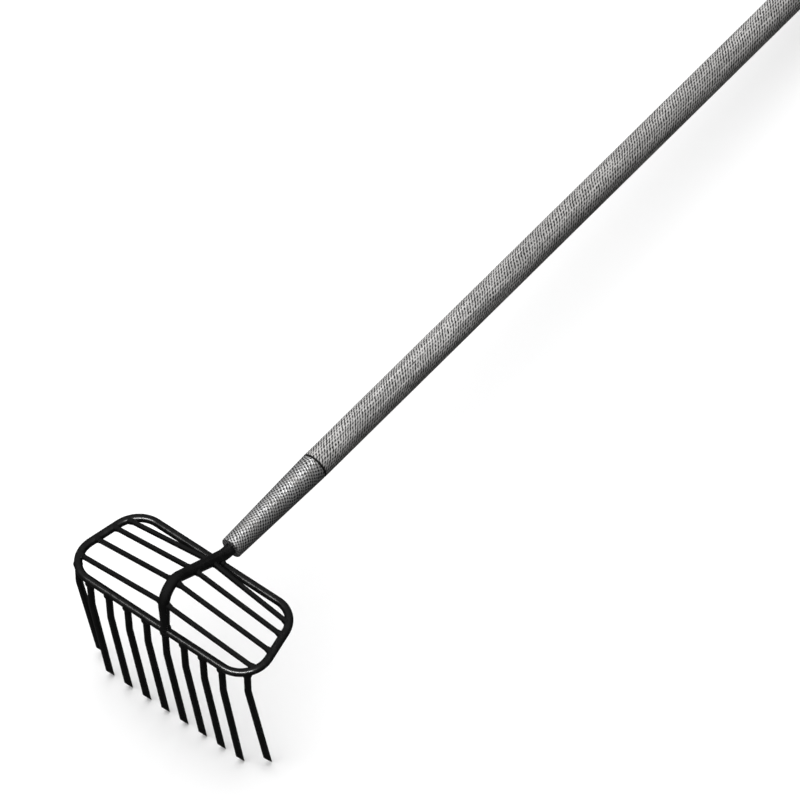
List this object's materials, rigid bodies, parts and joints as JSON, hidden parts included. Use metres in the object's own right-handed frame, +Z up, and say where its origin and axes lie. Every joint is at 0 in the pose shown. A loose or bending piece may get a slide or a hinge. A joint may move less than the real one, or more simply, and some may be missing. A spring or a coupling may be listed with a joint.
{
  "type": "basket rake",
  "caption": "Long-handled rake with a welded rod basket head: round downturned teeth under a flat ring, tented grid rods, arched spine, tapered ferrule, straight wooden handle.",
  "frame": {"origin": "on the ground, under the middle of the tool's box, with the tool at rest on its tooth tips and the butt of its handle", "axes": "+X across the head, +Y from the head along the ground towards the handle's butt, +Z up; the handle itself slopes down towards its butt by 5.7 degrees"},
  "size_m": [0.2512, 1.5126, 0.2198],
  "materials": {
    "head_enamel": "gloss black enamel on welded steel rod",
    "ferrule_steel": "dull grey drawn steel, fine scratches along it",
    "nail_steel": "plain steel nail head",
    "handle_wood": "weathered grey ash, close straight grain along the handle crossed by fine slanting feed marks"
  },
  "bodies": {
    "root": {"basket_ring": "head_enamel", "spine": "head_enamel", "grid_rod_1": "head_enamel", "grid_rod_2": "head_enamel", "grid_rod_3": "head_enamel", "grid_rod_4": "head_enamel", "tooth_01": "head_enamel", "tooth_02": "head_enamel", "tooth_03": "head_enamel", "tooth_04": "head_enamel", "tooth_05": "head_enamel", "tooth_06": "head_enamel", "tooth_07": "head_enamel", "tooth_08": "head_enamel", "tooth_09": "head_enamel", "tooth_10": "head_enamel", "ring_seam_weld": "head_enamel", "tooth_welds": "head_enamel", "grid_end_welds": "head_enamel", "grid_crown_welds": "head_enamel", "spine_foot_weld": "head_enamel", "spine_neck_welds": "head_enamel", "ferrule": "ferrule_steel", "ferrule_nail": "nail_steel", "handle": "handle_wood"}
  },
  "joints": []
}
